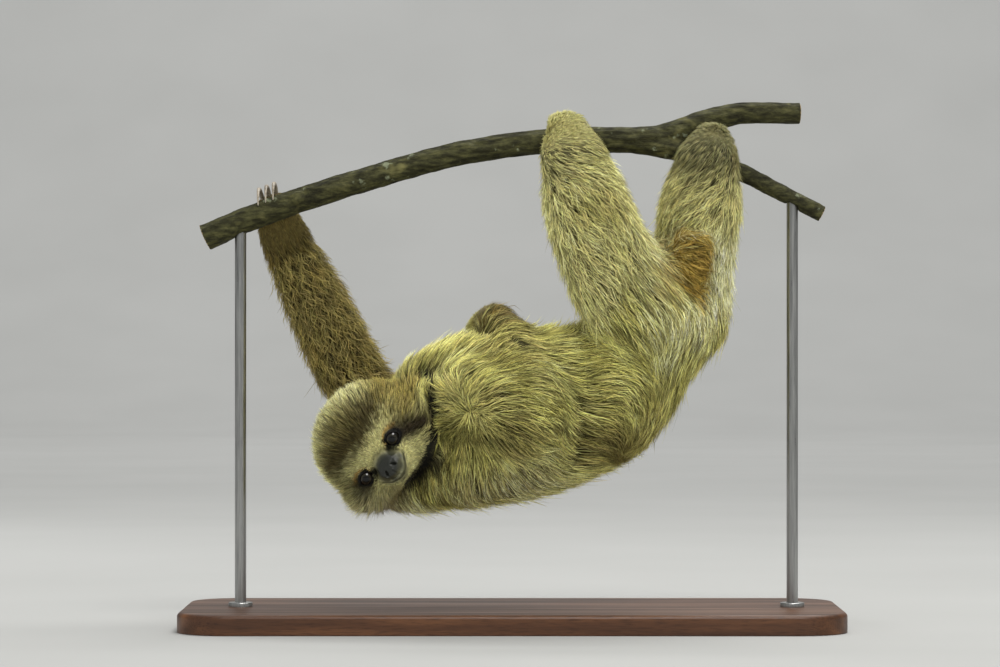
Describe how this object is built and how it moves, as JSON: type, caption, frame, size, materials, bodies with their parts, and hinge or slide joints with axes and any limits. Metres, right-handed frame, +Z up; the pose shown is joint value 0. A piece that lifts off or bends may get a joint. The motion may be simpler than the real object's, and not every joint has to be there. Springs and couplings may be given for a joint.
{
  "type": "three-toed sloth model",
  "caption": "Life-size model of a young three-toed sloth hanging by its feet and one hand from a short cut branch on a plain stand.",
  "frame": {"origin": "middle of the base's underside, on the floor", "axes": "+Z up, +X along the base and the branch towards the sloth's hind feet, -Y towards the side the sloth's back and face are turned to"},
  "size_m": [0.46, 0.17, 0.3682],
  "materials": {
    "coat": "long coarse coat, straw olive over dark roots, with a pale face mask and a dark stripe from each eye",
    "eye": "wet dark brown",
    "claw": "pale horn with grey-brown patches",
    "bark": "rough dark bark with paler worn patches",
    "stand_wood": "satin dark stained wood",
    "stand_steel": "brushed"
  },
  "bodies": {
    "root": {"head": "coat", "neck": "coat", "trunk": "coat", "tail": "coat", "left_upper_arm": "coat", "left_forearm": "coat", "left_hand": "coat", "right_upper_arm": "coat", "right_forearm": "coat", "right_hand": "coat", "left_thigh": "coat", "left_shin": "coat", "left_foot": "coat", "right_thigh": "coat", "right_shin": "coat", "right_foot": "coat", "left_hand_claw_1": "claw", "left_hand_claw_2": "claw", "left_hand_claw_3": "claw", "right_hand_claw_1": "claw", "right_hand_claw_2": "claw", "right_hand_claw_3": "claw", "left_foot_claw_1": "claw", "left_foot_claw_2": "claw", "left_foot_claw_3": "claw", "right_foot_claw_1": "claw", "right_foot_claw_2": "claw", "right_foot_claw_3": "claw", "left_eye": "eye", "right_eye": "eye", "branch": "bark", "stand_base": "stand_wood", "stand_rod_left": "stand_steel", "stand_rod_right": "stand_steel"}
  },
  "joints": []
}
